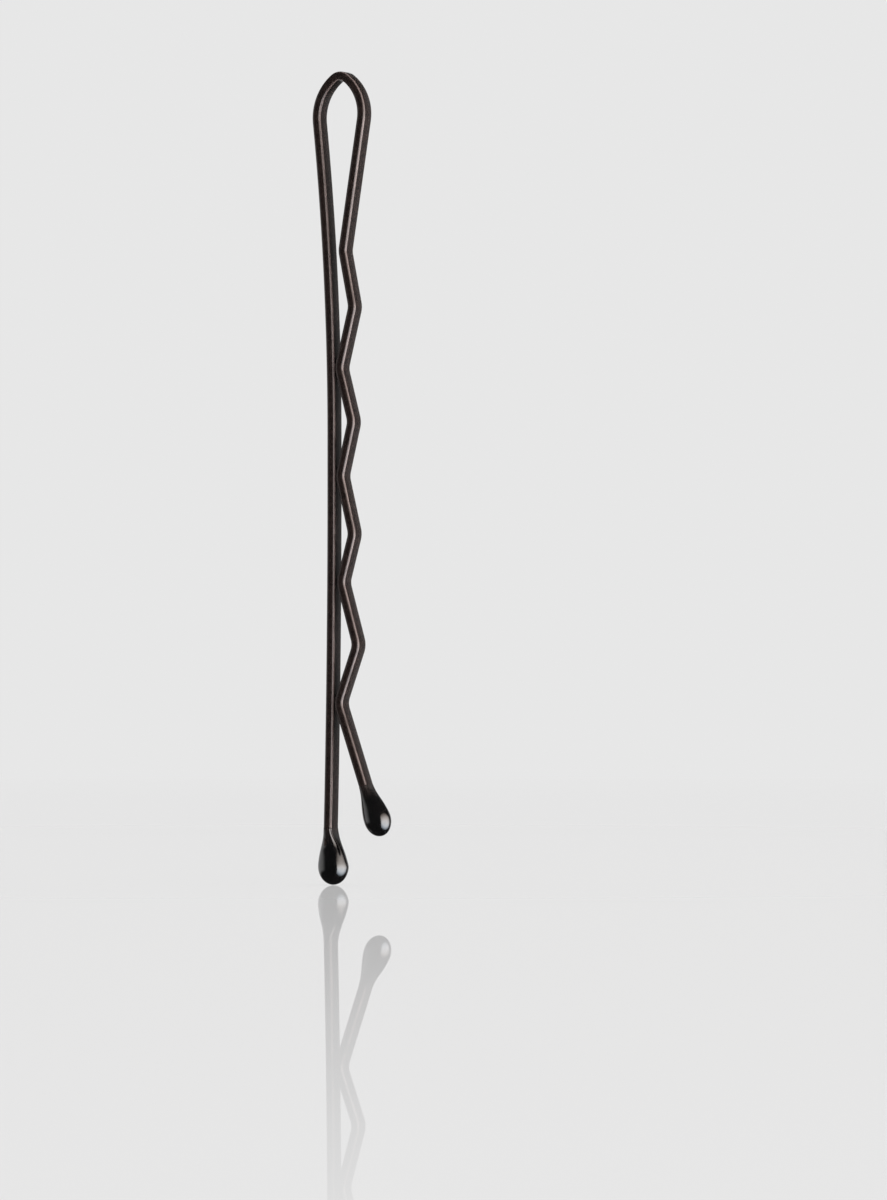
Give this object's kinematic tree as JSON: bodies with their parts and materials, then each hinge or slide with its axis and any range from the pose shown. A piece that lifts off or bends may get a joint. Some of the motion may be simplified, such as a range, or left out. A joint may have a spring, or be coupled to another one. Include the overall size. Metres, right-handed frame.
{
  "type": "bobby pin",
  "caption": "Spring hair pin of flat lacquered wire: a narrow loop joins a straight leg and a crimped leg that spread and close to grip hair, and a glossy resin drop covers each wire end.",
  "frame": {"origin": "on the straight leg's inner face at the middle of the grip, where hair is held", "axes": "+Z along the pin towards its loop, +X from the straight leg to the crimped leg, Y across the flat wire"},
  "size_m": [0.0064, 0.0024, 0.0635],
  "materials": {
    "lacquered_wire": "satin brown-black lacquer on spring steel",
    "dipped_resin": "gloss black dipped resin"
  },
  "bodies": {
    "loop": {"spring_loop": "lacquered_wire"},
    "straight_arm": {"straight_leg": "lacquered_wire", "straight_tip": "dipped_resin"},
    "crimped_arm": {"crimped_leg": "lacquered_wire", "crimped_tip": "dipped_resin"}
  },
  "joints": [
    {"name": "straight_spread", "type": "hinge", "parent": "loop", "child": "straight_arm", "pos_m": [-0.00193, 0, 0.02763], "axis": [0, 1, 0], "range_deg": [0, 7], "stiffness_Nm_per_rad": 0.38},
    {"name": "crimped_spread", "type": "hinge", "parent": "loop", "child": "crimped_arm", "pos_m": [0.00251, 0, 0.02778], "axis": [0, -1, 0], "range_deg": [0, 7], "stiffness_Nm_per_rad": 0.38}
  ]
}
